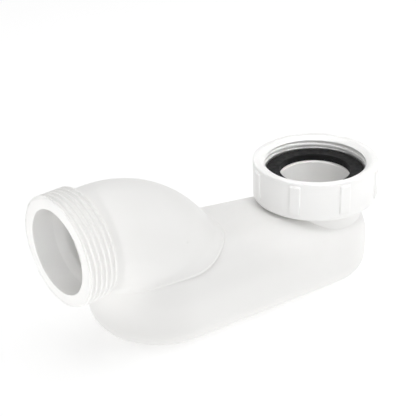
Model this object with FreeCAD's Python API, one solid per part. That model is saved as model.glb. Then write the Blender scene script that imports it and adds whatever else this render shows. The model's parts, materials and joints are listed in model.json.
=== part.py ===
"""Low 1 1/2 inch bath trap: a flat sump with a union nut on its inlet and a threaded, swept outlet.

Frame, in millimetres: the origin is on the underside of the sump, below the inlet's axis.
+Z is up along the inlet, and the outlet lies towards -X, swung a little towards -Y.
"""

import FreeCAD, Part
import math
import os

from FreeCAD import Vector

# Pipe thread, 1 1/2 inch parallel, 11 turns to the inch, with the shallow rounded form of moulded plastic
THREAD_PITCH = 2.309
THREAD_CREST_R = 23.9
THREAD_DEPTH = 0.9
THREAD_CREST_FLAT = 0.4
THREAD_FLANK = 0.6
THREAD_CLEARANCE = 0.1
THREAD_SINK = 0.05

# Sump: a flat tapered box with round ends
SUMP_LENGTH = 80.0
SUMP_INLET_R = 24.6
SUMP_OUTLET_R = 32.6
SUMP_HEIGHT = 38.6
SUMP_TOP_ROUND = 18.0
SUMP_BOTTOM_ROUND = 11.0
WALL = 3.0
SEAM_Z = 12.0
SEAM_TONGUE = 4.0

# Inlet: a flanged tail that carries the nut, with the water-seal tube inside it
TAIL_R = 20.0
TAIL_BORE_R = 18.0
TAIL_FLANGE_R = 22.7
TAIL_FLANGE_THICK = 2.2
TAIL_TOP_Z = 49.2
TAIL_FOOT_R = 21.5
TAIL_FOOT_TOP_Z = 39.8
DIP_BORE_R = 16.0
DIP_BOTTOM_Z = 13.0
DIP_LIP_R = 19.4
DIP_LIP_THICK = 1.5
DIP_MOUTH_CHAMFER = 1.0

# Union nut, its retaining ring and its washer
NUT_BOTTOM_Z = 40.1
NUT_HEIGHT = 18.0
NUT_R = 28.6
NUT_RIBS = 8
NUT_RIB_START_DEG = -5.5
NUT_RIB_PROUD = 0.6
NUT_RIB_WIDTH = 4.7
NUT_RIB_DEPTH = 2.0
NUT_RIB_EDGE_ROUND = 0.48
NUT_RIB_BELOW_RIM = 1.6
NUT_RIB_ABOVE_FOOT = 3.1
NUT_FOOT_CHAMFER = 1.1
NUT_RIM_ROUND = 0.5
NUT_MOUTH_R = 25.5
NUT_MOUTH_DEPTH = 1.5
NUT_LIP_R = 23.0
NUT_LIP_THICK = 2.2
NUT_CAVITY_R = 24.6
NUT_THREAD_START_Z = 52.7
RING_OUTER_R = 24.3
RING_INNER_R = 20.4
RING_THICK = 2.0
RING_SPLIT = 3.0
RING_LIFT = 0.1
WASHER_OUTER_R = 22.6
WASHER_INNER_R = 16.2
WASHER_THICK = 3.2

# Outlet: a tapering bend on the sump's wide end, and a threaded spigot welded to its neck
OUTLET_SWING_DEG = 13.0
OUTLET_AXIS_Z = 51.4
OUTLET_FACE = 50.2
BEND_R = 42.0
BEND_SET_BACK = 6.3
BEND_FOOT_DEG = 15.0
BEND_SECTIONS = 9
BEND_TAPER_POWER = 1.4
RISER_R = 28.1
RISER_BORE_R = 24.8
FOOT_FILLET = 3.0
NECK_R = 21.2
NECK_BORE_R = 17.4
NECK_TONGUE_R = 19.9
NECK_TONGUE = 4.0
NECK_TONGUE_ROOT = 1.0
SPIGOT_LENGTH = 14.0
SPIGOT_BORE_R = 18.2
SPIGOT_THREAD_START_DEG = 34.0
SPIGOT_RIM_R = 23.5
SPIGOT_RIM = 0.6
SPIGOT_RIM_CHAMFER = 0.3
SPIGOT_BORE_CHAMFER = 0.6

# Larger than the whole trap, and the distances below which two places count as one
BEYOND = 300.0
SAME_HEIGHT = 1e-6
ON_SKIN = 1e-3

UP = Vector(0, 0, 1)
ORIGIN = Vector(0, 0, 0)
SUMP_END = Vector(-SUMP_LENGTH, 0, 0)
SWING = math.radians(OUTLET_SWING_DEG)
OUTLET_DIR = Vector(-math.cos(SWING), -math.sin(SWING), 0)
THREAD_ROOT_R = THREAD_CREST_R - THREAD_DEPTH


def cylinder(radius, z0, z1):
    """A solid cylinder on the inlet's axis from z0 up to z1."""
    return Part.makeCylinder(radius, z1 - z0, Vector(0, 0, z0), UP)


def tube(outer, inner, z0, z1):
    """A plain tube on the inlet's axis."""
    return cylinder(outer, z0, z1).cut(cylinder(inner, z0, z1))


def revolved(points):
    """The solid made by turning a closed outline of (radius, z) points about the inlet's axis."""
    outline = Part.makePolygon([Vector(r, 0, z) for r, z in points + points[:1]])
    return Part.Face(outline).revolve(ORIGIN, UP, 360)


def edges_at(shape, z):
    """The edges of a shape that lie wholly at one height."""
    return [e for e in shape.Edges if all(abs(v.Z - z) < SAME_HEIGHT for v in e.Vertexes)]


def slab(z0, z1):
    """All of the space between two heights, as a box that reaches past the trap on every side."""
    return Part.makeBox(2 * BEYOND, 2 * BEYOND, z1 - z0, Vector(-BEYOND, -BEYOND, z0))


def tapered_plate(inlet_r, outlet_r, z0, z1):
    """A plate from z0 to z1 with a round end on each sump axis, joined by straight tangent sides."""
    lean = (outlet_r - inlet_r) / SUMP_LENGTH
    across = math.sqrt(1 - lean**2)
    left = Vector(lean, across, 0)
    right = Vector(lean, -across, 0)
    base = Vector(0, 0, z0)
    end = SUMP_END + base
    outline = Part.Wire(
        [
            Part.makeLine(end + left * outlet_r, base + left * inlet_r),
            Part.Arc(
                base + left * inlet_r,
                base + Vector(inlet_r, 0, 0),
                base + right * inlet_r,
            ).toShape(),
            Part.makeLine(base + right * inlet_r, end + right * outlet_r),
            Part.Arc(
                end + right * outlet_r,
                end - Vector(outlet_r, 0, 0),
                end + left * outlet_r,
            ).toShape(),
        ]
    )
    return Part.Face(outline).extrude(Vector(0, 0, z1 - z0))


def sump_form(inset):
    """The sump's rounded outer form, or the same form moved inwards by an even wall."""
    low = inset
    high = SUMP_HEIGHT - inset
    form = tapered_plate(SUMP_INLET_R - inset, SUMP_OUTLET_R - inset, low, high)
    form = form.makeFillet(SUMP_TOP_ROUND - inset, edges_at(form, high))
    return form.makeFillet(SUMP_BOTTOM_ROUND - inset, edges_at(form, low))


def seam_tongue():
    """The half-thickness tongue of the pan that stands inside the shell's wall."""
    half = WALL / 2
    outside = tapered_plate(
        SUMP_INLET_R - half, SUMP_OUTLET_R - half, SEAM_Z, SEAM_Z + SEAM_TONGUE
    )
    inside = tapered_plate(
        SUMP_INLET_R - WALL, SUMP_OUTLET_R - WALL, SEAM_Z, SEAM_Z + SEAM_TONGUE
    )
    return outside.cut(inside)


def bend_section(angle_deg, foot_r, neck_r):
    """A round section of the bend, square to its centre line, from the riser (0) to the neck (90)."""
    angle = math.radians(angle_deg)
    centre = SUMP_END + OUTLET_DIR * (BEND_R - BEND_SET_BACK)
    centre = centre + UP * (OUTLET_AXIS_Z - BEND_R)
    outward = OUTLET_DIR * -math.cos(angle) + UP * math.sin(angle)
    along = OUTLET_DIR * math.sin(angle) + UP * math.cos(angle)
    taper = (angle_deg / 90.0) ** BEND_TAPER_POWER
    radius = foot_r + (neck_r - foot_r) * taper
    return Part.Wire(Part.Circle(centre + outward * BEND_R, along, radius).toShape())


def bend(foot_r, neck_r):
    """The tapering bend as a solid, from inside the sump to the end of the neck's curve."""
    step = (90.0 - BEND_FOOT_DEG) / (BEND_SECTIONS - 1)
    angles = [BEND_FOOT_DEG + step * i for i in range(BEND_SECTIONS)]
    return Part.makeLoft([bend_section(a, foot_r, neck_r) for a in angles], True)


def outlet_cylinder(radius, start, end):
    """A solid cylinder on the outlet's axis, between two distances from the sump end's axis."""
    base = SUMP_END + UP * OUTLET_AXIS_Z + OUTLET_DIR * start
    return Part.makeCylinder(radius, end - start, base, OUTLET_DIR)


def water_way():
    """The passage through the bend, up to the neck's mouth."""
    neck_start = BEND_R - BEND_SET_BACK
    mouth = OUTLET_FACE - SPIGOT_LENGTH + NECK_TONGUE
    straight = outlet_cylinder(NECK_BORE_R, neck_start, mouth)
    return bend(RISER_BORE_R, NECK_BORE_R).fuse(straight)


def thread_ridge(radius, depth, length):
    """A helical ridge about Z, which starts at z = 0 and stands proud of a radius by its depth."""
    base_half = THREAD_CREST_FLAT / 2 + THREAD_FLANK
    helix = Part.makeLongHelix(THREAD_PITCH, length, radius)
    profile = Part.makePolygon(
        [
            Vector(radius - THREAD_SINK, 0, -base_half),
            Vector(radius + depth, 0, -THREAD_CREST_FLAT / 2),
            Vector(radius + depth, 0, THREAD_CREST_FLAT / 2),
            Vector(radius - THREAD_SINK, 0, base_half),
            Vector(radius - THREAD_SINK, 0, -base_half),
        ]
    )
    return Part.Wire(helix).makePipeShell([Part.Wire(profile)], True, True)


def sump_shell(form, cavity, way):
    """Crown and side walls of the sump, moulded in one with the flanged inlet tail."""
    foot = cylinder(TAIL_FOOT_R, SUMP_HEIGHT / 2, TAIL_FOOT_TOP_Z)
    tail = cylinder(TAIL_R, SUMP_HEIGHT / 2, TAIL_TOP_Z)
    flange = cylinder(TAIL_FLANGE_R, TAIL_TOP_Z - TAIL_FLANGE_THICK, TAIL_TOP_Z)
    shell = form.common(slab(SEAM_Z, SUMP_HEIGHT)).fuse([foot, tail, flange]).cut(cavity)
    shell = shell.cut(cylinder(TAIL_BORE_R, SEAM_Z, TAIL_TOP_Z))
    shell = shell.cut(cylinder(DIP_LIP_R, TAIL_TOP_Z - DIP_LIP_THICK, TAIL_TOP_Z))
    return shell.cut(seam_tongue()).cut(way).removeSplitter()


def sump_pan(form, cavity):
    """The floor of the sump, with the tongue that is welded inside the shell's wall."""
    return form.common(slab(0, SEAM_Z)).cut(cavity).fuse(seam_tongue()).removeSplitter()


def inlet_dip_tube():
    """The tube that hangs in the sump's water and makes the seal. Its lip sits in the tail's mouth."""
    lip = cylinder(DIP_LIP_R, TAIL_TOP_Z - DIP_LIP_THICK, TAIL_TOP_Z)
    body = cylinder(TAIL_BORE_R, DIP_BOTTOM_Z, TAIL_TOP_Z).fuse(lip)
    body = body.cut(cylinder(DIP_BORE_R, DIP_BOTTOM_Z, TAIL_TOP_Z))
    mouth = Part.makeCone(
        DIP_BORE_R,
        DIP_BORE_R + DIP_MOUTH_CHAMFER,
        DIP_MOUTH_CHAMFER,
        Vector(0, 0, TAIL_TOP_Z - DIP_MOUTH_CHAMFER),
        UP,
    )
    return body.cut(mouth).removeSplitter()


def lies_on(edge, solid):
    """Whether the middle of an edge is on the skin of a solid."""
    middle = Part.Vertex(edge.valueAt((edge.FirstParameter + edge.LastParameter) / 2))
    return min(face.distToShape(middle)[0] for face in solid.Faces) < ON_SKIN


def filleted_bend(form):
    """The outside of the bend above the crown, with an even fillet around its foot."""
    outer = bend(RISER_R, NECK_R)
    joined = form.fuse(outer).removeSplitter()
    foot = [e for e in joined.Edges if lies_on(e, form) and lies_on(e, outer)]
    return joined.makeFillet(FOOT_FILLET, foot).cut(form)


def outlet_elbow(form, way):
    """The bend that stands on the sump's crown, and the tongue that its neck is welded by."""
    neck_start = BEND_R - BEND_SET_BACK
    neck_end = OUTLET_FACE - SPIGOT_LENGTH
    neck = outlet_cylinder(NECK_R, neck_start, neck_end)
    tongue = outlet_cylinder(NECK_TONGUE_R, neck_end - NECK_TONGUE_ROOT, neck_end + NECK_TONGUE)
    return filleted_bend(form).fuse([neck, tongue]).cut(way).removeSplitter()


def outlet_spigot():
    """The threaded end, turned about Z with its face up and then laid along the outlet's axis."""
    top = SPIGOT_LENGTH
    body = revolved(
        [
            (NECK_TONGUE_R, 0),
            (THREAD_ROOT_R, 0),
            (THREAD_ROOT_R, top - SPIGOT_RIM - (SPIGOT_RIM_R - THREAD_ROOT_R)),
            (SPIGOT_RIM_R, top - SPIGOT_RIM),
            (SPIGOT_RIM_R, top - SPIGOT_RIM_CHAMFER),
            (SPIGOT_RIM_R - SPIGOT_RIM_CHAMFER, top),
            (SPIGOT_BORE_R + SPIGOT_BORE_CHAMFER, top),
            (SPIGOT_BORE_R, top - SPIGOT_BORE_CHAMFER),
            (SPIGOT_BORE_R, NECK_TONGUE),
            (NECK_TONGUE_R, NECK_TONGUE),
        ]
    )
    thread_half = THREAD_CREST_FLAT / 2 + THREAD_FLANK
    ridge = thread_ridge(THREAD_ROOT_R, THREAD_DEPTH, top - 2 * thread_half)
    ridge.rotate(ORIGIN, UP, SPIGOT_THREAD_START_DEG)
    ridge.translate(Vector(0, 0, thread_half))
    spigot = body.fuse(ridge).removeSplitter()
    spigot.rotate(ORIGIN, Vector(0, 1, 0), 90)
    spigot.rotate(ORIGIN, UP, 180 + OUTLET_SWING_DEG)
    spigot.translate(SUMP_END + UP * OUTLET_AXIS_Z + OUTLET_DIR * (OUTLET_FACE - SPIGOT_LENGTH))
    return spigot


def nut_rib(index):
    """One rounded grip rib, from near the rim to above the foot."""
    low = NUT_BOTTOM_Z + NUT_RIB_ABOVE_FOOT
    high = NUT_BOTTOM_Z + NUT_HEIGHT - NUT_RIB_BELOW_RIM
    reach = NUT_R + NUT_RIB_PROUD
    corner = Vector(reach - NUT_RIB_DEPTH, -NUT_RIB_WIDTH / 2, low)
    rib = Part.makeBox(NUT_RIB_DEPTH, NUT_RIB_WIDTH, high - low, corner)
    outer_face = max(rib.Faces, key=lambda face: face.CenterOfMass.x)
    rib = rib.makeFillet(NUT_RIB_EDGE_ROUND, outer_face.Edges)
    rib.rotate(ORIGIN, UP, NUT_RIB_START_DEG + 360.0 / NUT_RIBS * index)
    return rib


def union_nut():
    """The ribbed nut, open at both ends, with a lip under the ring and a thread above the washer."""
    low = NUT_BOTTOM_Z
    high = low + NUT_HEIGHT
    minor = THREAD_ROOT_R + THREAD_CLEARANCE
    lip_top = low + NUT_LIP_THICK
    body = revolved(
        [
            (NUT_LIP_R, low),
            (NUT_R - NUT_FOOT_CHAMFER, low),
            (NUT_R, low + NUT_FOOT_CHAMFER),
            (NUT_R, high - NUT_RIM_ROUND),
            (NUT_R - NUT_RIM_ROUND, high),
            (NUT_MOUTH_R, high),
            (minor, high - NUT_MOUTH_DEPTH),
            (minor, NUT_THREAD_START_Z),
            (NUT_CAVITY_R, NUT_THREAD_START_Z - (NUT_CAVITY_R - minor)),
            (NUT_CAVITY_R, lip_top),
            (NUT_LIP_R, lip_top),
        ]
    )
    body = body.fuse([nut_rib(i) for i in range(NUT_RIBS)])
    groove = thread_ridge(minor, THREAD_DEPTH, high - NUT_THREAD_START_Z + THREAD_PITCH)
    groove.translate(Vector(0, 0, NUT_THREAD_START_Z))
    return body.cut(groove).removeSplitter()


def nut_retaining_ring():
    """A split ring sprung into the nut below the tail's flange, so that the nut can't lift off."""
    low = NUT_BOTTOM_Z + NUT_LIP_THICK + RING_LIFT
    ring = tube(RING_OUTER_R, RING_INNER_R, low, low + RING_THICK)
    gap = Part.makeBox(
        RING_OUTER_R, RING_SPLIT, RING_THICK, Vector(0, -RING_SPLIT / 2, low)
    )
    return ring.cut(gap)


def inlet_washer():
    """The flat rubber washer that lies on the tail's flange."""
    return tube(WASHER_OUTER_R, WASHER_INNER_R, TAIL_TOP_Z, TAIL_TOP_Z + WASHER_THICK)


def main():
    os.makedirs("parts", exist_ok=True)
    form = sump_form(0)
    cavity = sump_form(WALL)
    way = water_way()
    nodes = {
        "sump_shell": sump_shell(form, cavity, way),
        "sump_pan": sump_pan(form, cavity),
        "inlet_dip_tube": inlet_dip_tube(),
        "outlet_elbow": outlet_elbow(form, way),
        "outlet_spigot": outlet_spigot(),
        "union_nut": union_nut(),
        "nut_retaining_ring": nut_retaining_ring(),
        "inlet_washer": inlet_washer(),
    }
    for name, shape in nodes.items():
        box = shape.BoundBox
        print(
            f"{name}: {len(shape.Solids)} solid, valid {shape.isValid()}, {shape.Volume:.0f} mm3,",
            f"{box.XLength:.1f} x {box.YLength:.1f} x {box.ZLength:.1f} mm",
        )
        shape.exportStep(f"parts/{name}.step")


main()
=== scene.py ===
"""Looks for the low bath trap: satin white moulded plastic, a ribbed nut and a black rubber washer."""

import json
import math

import bpy
from mathutils import Matrix, Vector


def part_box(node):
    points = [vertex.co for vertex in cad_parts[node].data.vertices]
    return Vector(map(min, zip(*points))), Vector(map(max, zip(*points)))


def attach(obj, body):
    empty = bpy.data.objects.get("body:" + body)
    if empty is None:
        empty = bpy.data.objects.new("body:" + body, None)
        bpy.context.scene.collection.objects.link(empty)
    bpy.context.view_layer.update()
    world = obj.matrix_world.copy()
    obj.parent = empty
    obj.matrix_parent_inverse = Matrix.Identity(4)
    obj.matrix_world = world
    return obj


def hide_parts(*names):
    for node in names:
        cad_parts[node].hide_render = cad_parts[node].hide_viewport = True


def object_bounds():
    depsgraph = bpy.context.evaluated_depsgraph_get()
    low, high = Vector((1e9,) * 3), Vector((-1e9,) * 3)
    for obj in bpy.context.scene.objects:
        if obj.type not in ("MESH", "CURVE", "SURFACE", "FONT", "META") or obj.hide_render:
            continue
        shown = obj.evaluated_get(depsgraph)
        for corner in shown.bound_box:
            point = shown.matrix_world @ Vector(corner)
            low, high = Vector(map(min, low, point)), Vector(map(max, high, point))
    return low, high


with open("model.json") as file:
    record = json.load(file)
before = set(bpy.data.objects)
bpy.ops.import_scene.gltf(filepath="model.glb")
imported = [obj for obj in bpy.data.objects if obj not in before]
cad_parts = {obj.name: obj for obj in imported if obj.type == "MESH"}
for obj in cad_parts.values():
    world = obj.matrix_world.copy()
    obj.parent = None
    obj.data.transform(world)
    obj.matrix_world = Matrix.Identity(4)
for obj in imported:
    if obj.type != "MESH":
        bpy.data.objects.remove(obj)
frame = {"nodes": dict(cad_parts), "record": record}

bpy.context.view_layer.update()
CAD_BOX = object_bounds()
MM = 0.001

# Camera: where it stands, and how far it is turned, tipped down and rolled
CAMERA_TURN = math.radians(26.17)
CAMERA_TILT = math.radians(27.78)
CAMERA_ROLL = math.radians(-1.95)
CAMERA_PLACE = Vector((-218.45, -331.79, 241.53)) * MM
CAMERA_LENS_MM = 82.18
CAMERA_SENSOR_MM = 36
CAMERA_NEAR = 10.0 * MM

# Studio. Softboxes are given as size, watts and place from the middle of the trap. The two gridded boxes are
# aimed into the outlet and the inlet, which the softboxes leave dark, and are placed from what they light.
SOFTBOXES = {
    "overhead": (0.9, 2.4, Vector((0.1, 0.1, 0.9))),
    "right_box": (0.7, 1.6, Vector((0.8, -0.5, 0.5))),
    "front_box": (0.5, 0.15, Vector((-0.3, -0.8, 0.45))),
}
OUTLET_GRID = (0.05, 0.0032, Vector((-0.25, -0.2, 0.08)))
INLET_GRID = (0.06, 0.0046, Vector((0, -0.22, 0.33)))
GRID_SPREAD = math.radians(9)
SURROUND = 0.57
FLOOR_HALF = 3.0
FLOOR_DROP = 0.05 * MM
FLOOR_TONE = (0.9, 0.9, 0.9, 1)
FLOOR_ROUGHNESS = 0.8
FLOOR_GLOW = 0.3

# Sump, as in the design: what the bend's foot has to meet
SUMP_LENGTH = 80.0 * MM
SUMP_INLET_R = 24.6 * MM
SUMP_OUTLET_R = 32.6 * MM
SUMP_TOP = 38.6 * MM
SUMP_TOP_ROUND = 18.0 * MM

# Bend
BEND_R = 42.0 * MM
BEND_SET_BACK = 6.3 * MM
BEND_TAPER_POWER = 1.4
BEND_STEPS = 288
BEND_ROWS = 64
BORE_ROWS = 24
BEND_ROW_CROWDING = 1.7
FOOT_SEARCH_FROM = 0.05
FOOT_SEARCH_STEPS = 24
RISER_R = 28.1 * MM
RISER_BORE_R = 24.8 * MM
NECK_R = 21.2 * MM
NECK_BORE_R = 17.4 * MM
TONGUE_R = 19.85 * MM
TONGUE = 4.0 * MM
FOOT_FILLET = 3.0 * MM
FOOT_CREASE = 0.3 * MM
FOOT_FLARE = 1.6 * MM
FOOT_FLARE_ROUND = math.radians(62)
FOOT_SUNK = 0.8 * MM

# Thread
PITCH = 2.309 * MM
THREAD_DEPTH = 0.9 * MM
THREAD_CREST_HALF = 0.2 * MM
THREAD_BASE_HALF = 0.8 * MM
THREAD_SAMPLE = 0.11 * MM
THREAD_RUN_IN = 0.12

# Nut
NUT_STEPS = 1080
NUT_R = 28.6 * MM
NUT_FOOT_ROUND = 1.5 * MM
NUT_RIM_ROUND = 0.6 * MM
NUT_RIBS = 8
NUT_RIB_START = math.radians(-5.5)
NUT_RIB_HALF = 2.35 * MM
NUT_RIB_SOFT = 0.35 * MM
NUT_RIB_PROUD = 0.85 * MM
NUT_RIB_BELOW_RIM = 1.6 * MM
NUT_RIB_ABOVE_FOOT = 3.1 * MM
NUT_RIB_END_SOFT = 0.6 * MM
NUT_LIP_R = 23.0 * MM
NUT_LIP_THICK = 2.2 * MM
NUT_CAVITY_R = 24.6 * MM
NUT_MOUTH_R = 25.5 * MM
NUT_MOUTH_DEPTH = 1.5 * MM
NUT_MINOR_R = 23.1 * MM
NUT_THREAD_LENGTH = 3.9 * MM
NUT_THREAD_TURNS = 3
NUT_SKIN = 0.8 * MM
NUT_THREAD_SKIN = 0.3 * MM
NUT_LIP_ROUND = 0.4 * MM
NUT_MOUTH_ROUND = 0.35 * MM
NUT_THREAD_ROUND = 0.3 * MM
NUT_CAVITY_ROUND = 0.2 * MM
NUT_SAMPLE = 0.35 * MM

# Outlet spigot
SPIGOT_STEPS = 720
SPIGOT_LENGTH = 14.0 * MM
SPIGOT_ROOT_R = 23.0 * MM
SPIGOT_THREAD_START = math.radians(-56.0)
SPIGOT_RIM_R = 23.5 * MM
SPIGOT_RIM = 0.6 * MM
SPIGOT_BORE_R = 18.2 * MM
SPIGOT_SLIT_R = 19.15 * MM
SPIGOT_SLIT_HALF = 0.22 * MM
SPIGOT_SLIT_DEPTH = 0.6 * MM
SPIGOT_SLIT_FROM = math.radians(6)
SPIGOT_SLIT_TO = math.radians(42)
SPIGOT_FOOT_ROUND = 0.5 * MM
SPIGOT_RIM_FOOT_ROUND = 0.2 * MM
SPIGOT_RIM_ROUND = 0.3 * MM
SPIGOT_MOUTH_ROUND = 0.5 * MM
SPIGOT_SKIN = 0.55 * MM
SPIGOT_LEAD_IN = 0.35 * MM
SPIGOT_FACE_SKIN = 0.05 * MM

# Moulding gate mark on the bend: a ring of skin, a sunk moat and a nub
GATE_R = 0.75 * MM
GATE_NUB_R = 0.3 * MM
GATE_PROUD = 0.12 * MM
GATE_AXIS_R = 0.02 * MM
GATE_ROOT = -0.3 * MM
GATE_MOAT = 0.15 * MM
GATE_MOAT_EDGE = -0.05 * MM
GATE_MOAT_FLOOR = -0.08 * MM
GATE_ROUND = 0.04 * MM
GATE_MOAT_ROUND = 0.03 * MM
GATE_NUB_ROUND = 0.05 * MM
GATE_STEPS = 48
BEND_GATE_ALONG = math.radians(48)
BEND_GATE_ROUND = math.radians(70)

# Washer
WASHER_STEPS = 360
WASHER_INNER_R = 16.2 * MM
WASHER_ROUND = 0.35 * MM
WASHER_SAMPLE = 0.5 * MM

# Materials: noise is in features to the metre, relief is a depth and a strength
NOISE_MIDDLE = (0.35, 0.65)
PLASTIC_TONE_NOISE = 45
PLASTIC_GLOSS_NOISE = 120
PLASTIC_GRAIN_NOISE = 1500
PLASTIC_GRAIN = (0.05 * MM, 0.14)
PLASTIC_GLOSS_BELOW = 0.05
PLASTIC_GLOSS_ABOVE = 0.06
PLASTIC_IOR = 1.49
RUBBER_TONES = ((0.0065, 0.0065, 0.007), (0.0115, 0.0115, 0.012))
RUBBER_TONE_NOISE = 160
RUBBER_GLOSS_NOISE = 400
RUBBER_GRAIN_NOISE = 2600
RUBBER_GRAIN = (0.08 * MM, 0.4)
RUBBER_GLOSS = (0.5, 0.66)
RUBBER_SPECULAR = 0.2

# Meshes
ROUND_STEPS = 6
SHARP = math.radians(38)
UP = Vector((0, 0, 1))


def smooth(t):
    """0 below 0, 1 above 1, and an even S between."""
    t = min(1.0, max(0.0, t))
    return t * t * (3 - 2 * t)


def rounded_outline(corners):
    """A closed outline of (radius, height) points, from corners given as (radius, height, rounding)."""
    points = []
    count = len(corners)
    for i, (r, z, rounding) in enumerate(corners):
        here = Vector((r, z))
        before = Vector(corners[i - 1][:2]) - here
        after = Vector(corners[(i + 1) % count][:2]) - here
        if rounding <= 0:
            points.append(here)
            continue
        half = before.angle(after) / 2
        reach = min(rounding / math.tan(half), before.length * 0.49, after.length * 0.49)
        start = here + before.normalized() * reach
        end = here + after.normalized() * reach
        for step in range(ROUND_STEPS + 1):
            t = step / ROUND_STEPS
            points.append(start * (1 - t) ** 2 + here * 2 * t * (1 - t) + end * t**2)
    return points


def sampled(points, spacing):
    """The same closed outline with its long runs cut into short ones."""
    fine = []
    for i, here in enumerate(points):
        there = points[(i + 1) % len(points)]
        parts = max(1, math.ceil((there - here).length / spacing))
        fine += [here.lerp(there, k / parts) for k in range(parts)]
    return fine


def ring_mesh(name, steps, rows_at):
    """A closed ring of quads. rows_at(angle) gives the points of its closed section at an angle."""
    verts, faces = [], []
    for i in range(steps):
        section = rows_at(2 * math.pi * i / steps)
        verts += section
        rows = len(section)
        here, there = i * rows, ((i + 1) % steps) * rows
        for j in range(rows):
            k = (j + 1) % rows
            faces.append((here + j, there + j, there + k, here + k))
    mesh = bpy.data.meshes.new(name)
    mesh.from_pydata(verts, [], faces)
    mesh.shade_smooth()
    mesh.set_sharp_from_angle(angle=SHARP)
    obj = bpy.data.objects.new(name, mesh)
    bpy.context.scene.collection.objects.link(obj)
    return obj


def turned(name, outline, steps, reshape=None):
    """A ring mesh made by turning an outline about Z. reshape may move a point's radius and height."""

    def rows_at(angle):
        points = [reshape(r, z, angle) if reshape else (r, z) for r, z in outline]
        return [(r * math.cos(angle), r * math.sin(angle), z) for r, z in points]

    return ring_mesh(name, steps, rows_at)


def tooth(z, angle, low, turns):
    """How far a right-handed thread stands out, from 0 to 1. It starts at height low and angle 0."""
    around = angle / (2 * math.pi)
    nearest = round((z - low) / PITCH - around)
    progress = nearest + around
    off = abs(z - low - progress * PITCH)
    side = smooth((THREAD_BASE_HALF - off) / (THREAD_BASE_HALF - THREAD_CREST_HALF))
    return side * smooth(progress / THREAD_RUN_IN) * smooth((turns - progress) / THREAD_RUN_IN)


def place_along(obj, point, axis):
    """Puts a piece that was turned about Z at a point, with its own +Z along axis."""
    obj.data.transform(Matrix.Translation(point) @ axis.to_track_quat("Z", "Y").to_matrix().to_4x4())


def mount(name):
    """A mount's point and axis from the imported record."""
    found = next(m for m in frame["record"]["mounts"] if m["name"] == name)
    return Vector(found["pos_m"]), Vector(found["axis"]).normalized()


def finish_piece(obj, body, node, material):
    """Parents a piece to the empty of the body it rides on, hides the part it stands in for, and gives it
    its material.
    """
    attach(obj, body)
    if node:
        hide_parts(node)
    dress(obj, material)


def make_nut(material):
    """The union nut: ribbed outside, with an internal thread and rounded edges."""
    low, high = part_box("union_nut")
    foot, rim = low.z, high.z
    thread_top = rim - NUT_MOUTH_DEPTH
    thread_low = thread_top - NUT_THREAD_LENGTH
    cavity_top = thread_low - (NUT_CAVITY_R - NUT_MINOR_R)
    corners = [
        (NUT_LIP_R, foot, NUT_LIP_ROUND),
        (NUT_R, foot, NUT_FOOT_ROUND),
        (NUT_R, rim, NUT_RIM_ROUND),
        (NUT_MOUTH_R, rim, NUT_MOUTH_ROUND),
        (NUT_MINOR_R, thread_top, NUT_THREAD_ROUND),
        (NUT_MINOR_R, thread_low, 0.0),
        (NUT_CAVITY_R, cavity_top, NUT_CAVITY_ROUND),
        (NUT_CAVITY_R, foot + NUT_LIP_THICK, 0.0),
        (NUT_LIP_R, foot + NUT_LIP_THICK, NUT_THREAD_ROUND),
    ]
    outline = sampled(rounded_outline(corners), NUT_SAMPLE)
    spacing = 2 * math.pi / NUT_RIBS

    def rib(r, z, angle):
        off = (angle - NUT_RIB_START + spacing / 2) % spacing - spacing / 2
        across = smooth((NUT_RIB_HALF - abs(off) * NUT_R) / NUT_RIB_SOFT + 0.5)
        up = smooth((z - foot - NUT_RIB_ABOVE_FOOT) / NUT_RIB_END_SOFT + 0.5)
        down = smooth((rim - NUT_RIB_BELOW_RIM - z) / NUT_RIB_END_SOFT + 0.5)
        return r + NUT_RIB_PROUD * across * up * down

    def reshape(r, z, angle):
        if r > NUT_R - NUT_SKIN:
            return rib(r, z, angle), z
        if abs(r - NUT_MINOR_R) < NUT_THREAD_SKIN and thread_low < z < rim:
            return r + THREAD_DEPTH * tooth(z, angle, thread_low, NUT_THREAD_TURNS), z
        return r, z

    nut = turned("union_nut_moulding", outline, NUT_STEPS, reshape)
    finish_piece(nut, "nut", "union_nut", material)


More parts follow.
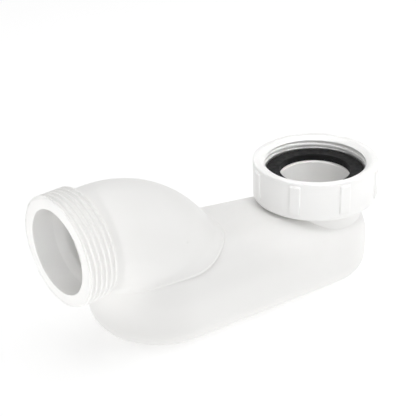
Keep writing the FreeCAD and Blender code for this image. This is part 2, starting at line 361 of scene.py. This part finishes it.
def make_spigot(material):
    """The threaded outlet end, turned with its face up and then laid along the outlet's axis."""
    face = SPIGOT_LENGTH
    rim_foot = face - SPIGOT_RIM
    corners = [
        (TONGUE_R, 0, 0.0),
        (SPIGOT_ROOT_R, 0, SPIGOT_FOOT_ROUND),
        (SPIGOT_ROOT_R, rim_foot - (SPIGOT_RIM_R - SPIGOT_ROOT_R), SPIGOT_RIM_FOOT_ROUND),
        (SPIGOT_RIM_R, rim_foot, SPIGOT_RIM_FOOT_ROUND),
        (SPIGOT_RIM_R, face, SPIGOT_RIM_ROUND),
        (SPIGOT_BORE_R, face, SPIGOT_MOUTH_ROUND),
        (SPIGOT_BORE_R, TONGUE, 0.0),
        (TONGUE_R, TONGUE, 0.0),
    ]
    outline = sampled(rounded_outline(corners), THREAD_SAMPLE)
    turns = face / PITCH

    def slit(r, angle):
        middle = (SPIGOT_SLIT_FROM + SPIGOT_SLIT_TO) / 2
        half = (SPIGOT_SLIT_TO - SPIGOT_SLIT_FROM) / 2
        along = smooth(3 * (1 - abs((angle - middle) / half)))
        return SPIGOT_SLIT_DEPTH * along * smooth(2 - abs(r - SPIGOT_SLIT_R) / (SPIGOT_SLIT_HALF / 2))

    def reshape(r, z, angle):
        if r > SPIGOT_ROOT_R - SPIGOT_SKIN and z > 0:
            stands = tooth(z, angle - SPIGOT_THREAD_START, THREAD_BASE_HALF, turns)
            lead_in = max(0, z - face + SPIGOT_LEAD_IN)
            return max(r, SPIGOT_ROOT_R + THREAD_DEPTH * stands - lead_in), z
        if z > face - SPIGOT_FACE_SKIN:
            return r, z - slit(r, angle)
        return r, z

    spigot = turned("outlet_spigot_moulding", outline, SPIGOT_STEPS, reshape)
    place_along(spigot, OUTLET_FACE - OUTLET_AXIS * SPIGOT_LENGTH, OUTLET_AXIS)
    finish_piece(spigot, "trap_body", "outlet_spigot", material)


def make_washer(material):
    """The flat rubber washer."""
    low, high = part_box("inlet_washer")
    corners = [
        (WASHER_INNER_R, low.z, WASHER_ROUND),
        (high.x, low.z, WASHER_ROUND),
        (high.x, high.z, WASHER_ROUND),
        (WASHER_INNER_R, high.z, WASHER_ROUND),
    ]
    outline = sampled(rounded_outline(corners), WASHER_SAMPLE)
    washer = turned("inlet_washer_rubber", outline, WASHER_STEPS)
    finish_piece(washer, "washer", "inlet_washer", material)


def above_sump(point):
    """How far a point is outside the sump's rounded crown and sides. It is negative inside."""
    lean = (SUMP_OUTLET_R - SUMP_INLET_R) / SUMP_LENGTH
    across = math.sqrt(1 - lean**2)
    side, along = abs(point.y), -point.x
    reach = side * lean + along * across
    if reach < 0:
        plan = math.hypot(side, along) - SUMP_INLET_R
    elif reach > across * SUMP_LENGTH:
        plan = math.hypot(side, along - SUMP_LENGTH) - SUMP_OUTLET_R
    else:
        plan = side * across - along * lean - SUMP_INLET_R
    out = plan + SUMP_TOP_ROUND
    rise = point.z - (SUMP_TOP - SUMP_TOP_ROUND)
    return min(max(out, rise), 0) + math.hypot(max(out, 0), max(rise, 0)) - SUMP_TOP_ROUND


def on_bend(along, around, foot_r, neck_r):
    """A point on the bend's round section, and the way out from its centre line, at two angles."""
    level = Vector((OUTLET_AXIS.x, OUTLET_AXIS.y, 0))
    outward = UP * math.sin(along) - level * math.cos(along)
    beside = Vector((-OUTLET_AXIS.y, OUTLET_AXIS.x, 0))
    away = outward * math.cos(around) + beside * math.sin(around)
    centre = Vector((-SUMP_LENGTH, 0, OUTLET_FACE_Z - BEND_R)) + level * (BEND_R - BEND_SET_BACK)
    radius = foot_r + (neck_r - foot_r) * (along / (math.pi / 2)) ** BEND_TAPER_POWER
    return centre + outward * BEND_R + away * radius, away


def foot_angle(around, foot_r, neck_r):
    """The angle along the bend where its side has sunk a little way into the sump's crown."""
    low, high = FOOT_SEARCH_FROM, math.pi / 2
    for _ in range(FOOT_SEARCH_STEPS):
        middle = (low + high) / 2
        point, _away = on_bend(middle, around, foot_r, neck_r)
        if above_sump(point) < -FOOT_SUNK:
            low = middle
        else:
            high = middle
    return high


def bend_side(around, foot_r, neck_r, rows, fillet):
    """Points up the side of the bend from its foot to its neck, flared into the crown by a fillet."""
    start = foot_angle(around, foot_r, neck_r)
    points = []
    for row in range(rows):
        along = start + (math.pi / 2 - start) * (row / (rows - 1)) ** BEND_ROW_CROWDING
        point, away = on_bend(along, around, foot_r, neck_r)
        lift = max(0.0, above_sump(point)) + FOOT_CREASE
        if lift < fillet:
            point = point + away * (fillet - math.sqrt(fillet**2 - (fillet - lift) ** 2))
        points.append(point)
    return points


def make_bend(material):
    """The tapering outlet bend, with a flared foot on the crown and a tongue inside the spigot."""
    neck_end = OUTLET_FACE - OUTLET_AXIS * SPIGOT_LENGTH
    beside = Vector((-OUTLET_AXIS.y, OUTLET_AXIS.x, 0))

    def rows_at(around):
        away = UP * math.cos(around) + beside * math.sin(around)
        steps = [(NECK_R, 0), (TONGUE_R, 0), (TONGUE_R, TONGUE), (SPIGOT_BORE_R, TONGUE), (NECK_BORE_R, 0)]
        neck = [neck_end + OUTLET_AXIS * ahead + away * radius for radius, ahead in steps]
        wider = FOOT_FLARE * max(0.0, math.cos(2 * (around - FOOT_FLARE_ROUND)))
        outside = bend_side(around, RISER_R, NECK_R, BEND_ROWS, FOOT_FILLET + wider)
        bore = bend_side(around, RISER_BORE_R, NECK_BORE_R, BORE_ROWS, 0.0)
        return outside + neck + bore[::-1]

    bend = ring_mesh("outlet_bend_moulding", BEND_STEPS, rows_at)
    finish_piece(bend, "trap_body", "outlet_elbow", material)


def make_gate_mark(name, point, away, material):
    """The mark of a moulding gate: a shallow raised ring of skin round a small broken nub."""
    corners = [
        (GATE_AXIS_R, GATE_ROOT, 0.0),
        (GATE_R, GATE_ROOT, 0.0),
        (GATE_R, 0.5 * GATE_PROUD, GATE_ROUND),
        (GATE_R - GATE_MOAT, GATE_MOAT_EDGE, GATE_ROUND),
        (GATE_NUB_R, GATE_MOAT_FLOOR, GATE_MOAT_ROUND),
        (GATE_NUB_R, GATE_PROUD, GATE_NUB_ROUND),
        (GATE_AXIS_R, GATE_PROUD, 0.0),
    ]
    mark = turned(name, rounded_outline(corners), GATE_STEPS)
    place_along(mark, point, away)
    finish_piece(mark, "trap_body", None, material)


def noise(nodes, links, coords, scale, detail=3.0):
    """A noise texture in the object's own space. scale is in features to the metre."""
    texture = nodes.new("ShaderNodeTexNoise")
    texture.inputs["Scale"].default_value = scale
    texture.inputs["Detail"].default_value = detail
    links.new(coords.outputs["Object"], texture.inputs["Vector"])
    return texture


def spread(nodes, links, source, low, high):
    """Stretches a noise's middle values to a range."""
    ranged = nodes.new("ShaderNodeMapRange")
    ranged.inputs["From Min"].default_value = NOISE_MIDDLE[0]
    ranged.inputs["From Max"].default_value = NOISE_MIDDLE[1]
    ranged.inputs["To Min"].default_value = low
    ranged.inputs["To Max"].default_value = high
    links.new(source.outputs["Fac"], ranged.inputs["Value"])
    return ranged


def mottled(nodes, links, factor, first, second):
    """A colour that wanders between two close tones."""
    mix = nodes.new("ShaderNodeMix")
    mix.data_type = "RGBA"
    mix.inputs["A"].default_value = (*first, 1)
    mix.inputs["B"].default_value = (*second, 1)
    links.new(factor.outputs["Result"], mix.inputs["Factor"])
    return mix


def bumped(nodes, links, source, shader, distance, strength):
    """Gives a shader a fine surface relief."""
    bump = nodes.new("ShaderNodeBump")
    bump.inputs["Distance"].default_value = distance
    bump.inputs["Strength"].default_value = strength
    links.new(source.outputs["Fac"], bump.inputs["Height"])
    links.new(bump.outputs["Normal"], shader.inputs["Normal"])


def plastic(name, light, shade, roughness):
    """Satin moulded plastic: faint mottling, uneven gloss and a fine moulded grain."""
    material = bpy.data.materials.new(name)
    material.use_nodes = True
    nodes, links = material.node_tree.nodes, material.node_tree.links
    shader = nodes["Principled BSDF"]
    coords = nodes.new("ShaderNodeTexCoord")
    tone = spread(nodes, links, noise(nodes, links, coords, PLASTIC_TONE_NOISE), 0, 1)
    colour = mottled(nodes, links, tone, light, shade)
    links.new(colour.outputs["Result"], shader.inputs["Base Color"])
    patches = noise(nodes, links, coords, PLASTIC_GLOSS_NOISE)
    gloss = spread(nodes, links, patches, roughness - PLASTIC_GLOSS_BELOW, roughness + PLASTIC_GLOSS_ABOVE)
    links.new(gloss.outputs["Result"], shader.inputs["Roughness"])
    bumped(nodes, links, noise(nodes, links, coords, PLASTIC_GRAIN_NOISE, 4), shader, *PLASTIC_GRAIN)
    shader.inputs["IOR"].default_value = PLASTIC_IOR
    return material


def rubber(name):
    """Matt black moulded rubber with a bloom of grey and a fine grain."""
    material = bpy.data.materials.new(name)
    material.use_nodes = True
    nodes, links = material.node_tree.nodes, material.node_tree.links
    shader = nodes["Principled BSDF"]
    coords = nodes.new("ShaderNodeTexCoord")
    tone = spread(nodes, links, noise(nodes, links, coords, RUBBER_TONE_NOISE, 5), 0, 1)
    colour = mottled(nodes, links, tone, *RUBBER_TONES)
    shader.inputs["Specular IOR Level"].default_value = RUBBER_SPECULAR
    links.new(colour.outputs["Result"], shader.inputs["Base Color"])
    gloss = spread(nodes, links, noise(nodes, links, coords, RUBBER_GLOSS_NOISE), *RUBBER_GLOSS)
    links.new(gloss.outputs["Result"], shader.inputs["Roughness"])
    bumped(nodes, links, noise(nodes, links, coords, RUBBER_GRAIN_NOISE, 3), shader, *RUBBER_GRAIN)
    return material


def dress(obj, material):
    """Gives an object one material in place of whatever it had."""
    for slot in obj.material_slots:
        slot.material = material
    if not obj.material_slots:
        obj.data.materials.append(material)


def area_light(name, size, power, position, target, spread=math.pi):
    """A square softbox that faces a point. A small spread is a grid that keeps its light on one part."""
    light = bpy.data.lights.new(name, "AREA")
    light.size = size
    light.energy = power
    light.spread = spread
    obj = bpy.data.objects.new(name, light)
    obj.location = position
    obj.rotation_euler = (Vector(target) - Vector(position)).to_track_quat("-Z", "Y").to_euler()
    bpy.context.scene.collection.objects.link(obj)


def make_studio(centre):
    """A plain pale floor, an even pale surround, three softboxes and a small gridded box for each bore."""
    mesh = bpy.data.meshes.new("floor")
    corners = [(x * FLOOR_HALF, y * FLOOR_HALF, 0) for x, y in ((-1, -1), (1, -1), (1, 1), (-1, 1))]
    mesh.from_pydata(corners, [], [(0, 1, 2, 3)])
    floor = bpy.data.objects.new("floor", mesh)
    floor.location.z = -FLOOR_DROP
    bpy.context.scene.collection.objects.link(floor)
    pale = bpy.data.materials.new("pale_floor")
    pale.use_nodes = True
    shader = pale.node_tree.nodes["Principled BSDF"]
    shader.inputs["Base Color"].default_value = FLOOR_TONE
    shader.inputs["Roughness"].default_value = FLOOR_ROUGHNESS
    shader.inputs["Emission Color"].default_value = (1, 1, 1, 1)
    shader.inputs["Emission Strength"].default_value = FLOOR_GLOW
    floor.data.materials.append(pale)

    world = bpy.data.worlds.new("studio")
    world.use_nodes = True
    world.node_tree.nodes["Background"].inputs["Color"].default_value = (1, 1, 1, 1)
    world.node_tree.nodes["Background"].inputs["Strength"].default_value = SURROUND
    bpy.context.scene.world = world
    for name, (size, power, place) in SOFTBOXES.items():
        area_light(name, size, power, centre + place, centre)
    for name, (size, power, place), lit in (
        ("outlet_grid", OUTLET_GRID, OUTLET_FACE),
        ("inlet_grid", INLET_GRID, INLET_THREAD),
    ):
        area_light(name, size, power, lit + place, lit, GRID_SPREAD)
    bpy.context.scene.view_settings.view_transform = "Standard"


def make_camera():
    """The camera looks down along the trap from its outlet end, a little to one side."""
    ahead = Vector(
        (
            math.sin(CAMERA_TURN) * math.cos(CAMERA_TILT),
            math.cos(CAMERA_TURN) * math.cos(CAMERA_TILT),
            -math.sin(CAMERA_TILT),
        )
    )
    right = Vector((math.cos(CAMERA_TURN), -math.sin(CAMERA_TURN), 0))
    right.rotate(Matrix.Rotation(-CAMERA_ROLL, 3, ahead))
    up = right.cross(ahead)
    data = bpy.data.cameras.new("camera")
    data.lens = CAMERA_LENS_MM
    data.sensor_width = CAMERA_SENSOR_MM
    data.clip_start = CAMERA_NEAR
    camera = bpy.data.objects.new("camera", data)
    turn = Matrix((right, up, -ahead)).transposed().to_4x4()
    camera.matrix_world = Matrix.Translation(CAMERA_PLACE) @ turn
    bpy.context.scene.collection.objects.link(camera)
    bpy.context.scene.camera = camera


OUTLET_FACE, OUTLET_AXIS = mount("outlet_thread")
OUTLET_FACE_Z = OUTLET_FACE.z
INLET_THREAD, _up = mount("inlet_thread")

centre = (CAD_BOX[0] + CAD_BOX[1]) / 2
make_camera()
make_studio(centre)

white = plastic("white_polypropylene", (0.935, 0.93, 0.917), (0.92, 0.915, 0.9), 0.38)
nut_white = plastic("nut_polypropylene", (0.945, 0.943, 0.935), (0.93, 0.928, 0.917), 0.34)
acetal = plastic("ring_acetal", (0.8, 0.79, 0.76), (0.77, 0.76, 0.73), 0.42)
black = rubber("black_rubber")

make_nut(nut_white)
make_spigot(white)
make_bend(white)
make_washer(black)
gate_point, gate_away = on_bend(BEND_GATE_ALONG, BEND_GATE_ROUND, RISER_R, NECK_R)
make_gate_mark("bend_gate_mark", gate_point, gate_away, white)
for node in ("sump_shell", "sump_pan", "inlet_dip_tube"):
    dress(frame["nodes"][node], white)
dress(frame["nodes"]["nut_retaining_ring"], acetal)

bpy.context.view_layer.update()
